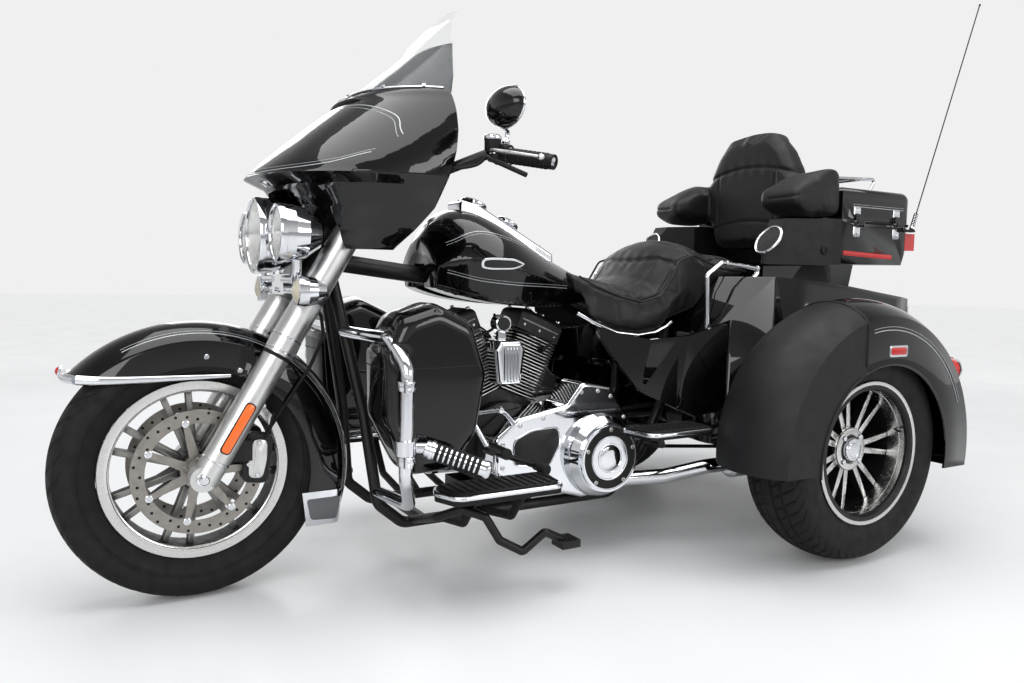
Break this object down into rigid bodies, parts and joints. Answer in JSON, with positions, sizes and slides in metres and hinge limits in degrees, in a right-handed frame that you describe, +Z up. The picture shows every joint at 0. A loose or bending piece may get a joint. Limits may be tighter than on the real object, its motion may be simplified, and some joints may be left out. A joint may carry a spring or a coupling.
{
  "type": "motorized trike",
  "caption": "Three-wheeled touring motorcycle with a steered front wheel, fork-mounted fairing, V-twin engine, wide tail with a trunk and a passenger top case.",
  "frame": {"origin": "on the ground, at the middle of the overall length and width", "axes": "+Z up, +Y to the rear, +X to the rider's left, so the front wheel is at -Y"},
  "size_m": [1.395, 2.9338, 1.8047],
  "materials": {
    "gloss_black_paint": "clear-coated gloss black",
    "satin_black_metal": "satin black powder coat",
    "black_plastic": "fine-grained black plastic",
    "gloss_black_plastic": "moulded gloss black",
    "chrome": "bright chrome plate",
    "cast_aluminium": "satin cast and machined",
    "black_aluminium": "satin black on cast aluminium",
    "disc_steel": "ground disc face",
    "tyre_rubber": "black tyre rubber",
    "black_rubber": "moulded black rubber",
    "black_leather": "stitched black leather",
    "black_vinyl": "grained black vinyl",
    "clear_screen": "clear bent screen",
    "lamp_glass": "clear moulded lens in a chrome shell",
    "red_lens": "clear red lens"
  },
  "bodies": {
    "chassis": {"frame_tubes": "satin_black_metal", "crankcase": "black_aluminium", "cylinders": "black_aluminium", "primary_cover": "chrome", "cam_cover": "black_aluminium", "air_cleaner": "chrome", "horn_cover": "chrome", "exhaust": "chrome", "engine_guard": "chrome", "lower_fairings": "gloss_black_paint", "rider_footboards": "black_rubber", "shift_lever": "satin_black_metal", "brake_pedals": "satin_black_metal", "fuel_tank": "gloss_black_paint", "tank_console": "chrome", "seat": "black_leather", "side_panels": "gloss_black_paint", "rear_body": "gloss_black_paint", "rear_fenders": "gloss_black_paint", "fender_covers": "black_vinyl", "side_rails": "chrome", "rear_lamps": "red_lens", "rear_axle": "black_aluminium", "drive_belt": "black_rubber", "swingarm": "satin_black_metal", "case_base": "gloss_black_plastic", "backrest": "black_leather", "speaker_pods": "black_plastic", "antenna": "black_plastic"},
    "fork": {"fork_sliders": "cast_aluminium", "fork_crowns": "gloss_black_paint", "fork_covers": "cast_aluminium", "front_fender": "gloss_black_paint", "front_calipers": "black_aluminium", "brake_hoses": "black_rubber", "headlamp": "lamp_glass", "auxiliary_lamps": "lamp_glass", "fairing": "gloss_black_paint", "inner_fairing": "black_plastic", "windshield": "clear_screen", "handlebar": "satin_black_metal", "hand_controls": "black_plastic", "mirrors": "chrome"},
    "front_wheel": {"front_tyre": "tyre_rubber", "front_rim": "cast_aluminium", "front_discs": "disc_steel"},
    "rear_wheel_left": {"rear_tyre_left": "tyre_rubber", "rear_rim_left": "cast_aluminium"},
    "rear_wheel_right": {"rear_tyre_right": "tyre_rubber", "rear_rim_right": "cast_aluminium"},
    "footboard_left": {"passenger_footboard_left": "black_rubber"},
    "footboard_right": {"passenger_footboard_right": "black_rubber"},
    "door": {"trunk_door": "gloss_black_paint"},
    "lid": {"case_lid": "gloss_black_plastic", "luggage_rack": "chrome"}
  },
  "joints": [
    {"name": "steering", "type": "hinge", "parent": "chassis", "child": "fork", "pos_m": [0, -1.247, 0], "axis": [0, 0.4384, 0.8988], "range_deg": [-30, 30]},
    {"name": "front_wheel_spin", "type": "hinge", "parent": "fork", "child": "front_wheel", "pos_m": [0, -1.148, 0.318], "axis": [1, 0, 0], "continuous": true},
    {"name": "rear_wheel_left_spin", "type": "hinge", "parent": "chassis", "child": "rear_wheel_left", "pos_m": [0.562, 0.542, 0.32], "axis": [1, 0, 0], "continuous": true},
    {"name": "rear_wheel_right_spin", "type": "hinge", "parent": "chassis", "child": "rear_wheel_right", "pos_m": [-0.562, 0.542, 0.32], "axis": [1, 0, 0], "continuous": true},
    {"name": "footboard_left_fold", "type": "hinge", "parent": "chassis", "child": "footboard_left", "pos_m": [0.338, 0.024, 0.381], "axis": [0, -1, 0], "range_deg": [0, 75]},
    {"name": "footboard_right_fold", "type": "hinge", "parent": "chassis", "child": "footboard_right", "pos_m": [-0.338, 0.024, 0.381], "axis": [0, 1, 0], "range_deg": [0, 75]},
    {"name": "trunk_door_hinge", "type": "hinge", "parent": "chassis", "child": "door", "pos_m": [0, 1.195, 0.319], "axis": [-1, 0, 0], "range_deg": [0, 85]},
    {"name": "case_lid_hinge", "type": "hinge", "parent": "chassis", "child": "lid", "pos_m": [0.343, 0.965, 0.996], "axis": [0, 1, 0], "range_deg": [0, 50]}
  ]
}
